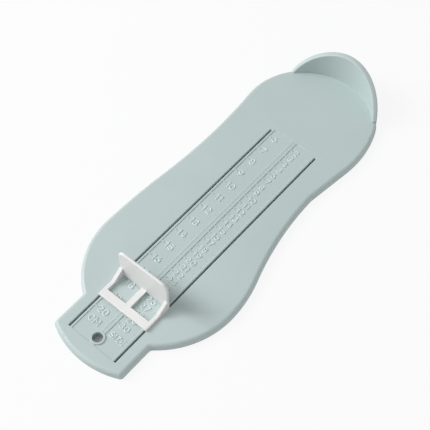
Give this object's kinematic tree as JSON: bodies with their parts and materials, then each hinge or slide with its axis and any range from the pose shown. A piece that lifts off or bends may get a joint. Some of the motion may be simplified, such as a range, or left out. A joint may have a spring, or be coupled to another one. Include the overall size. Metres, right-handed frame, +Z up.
{
  "type": "foot measuring device",
  "caption": "Foot-shaped measuring board with a heel wall, raised centimetre and shoe size scales, and a toe stop with reading windows that slides in two slots.",
  "frame": {"origin": "on the table, under the middle of the board's box", "axes": "+Z up, +Y towards the heel wall, +X towards the side of the big toe"},
  "size_m": [0.0878, 0.2285, 0.0262],
  "materials": {
    "board_plastic": "pale sage green moulded plastic, fine satin grain",
    "slider_plastic": "white moulded plastic, soft satin"
  },
  "bodies": {
    "board": {"foot_board": "board_plastic"},
    "slider": {"toe_slider": "slider_plastic"}
  },
  "joints": [
    {"name": "toe_slide", "type": "slide", "parent": "board", "child": "slider", "axis": [0, 1, 0], "range_m": [-0.0227, 0.121]}
  ]
}
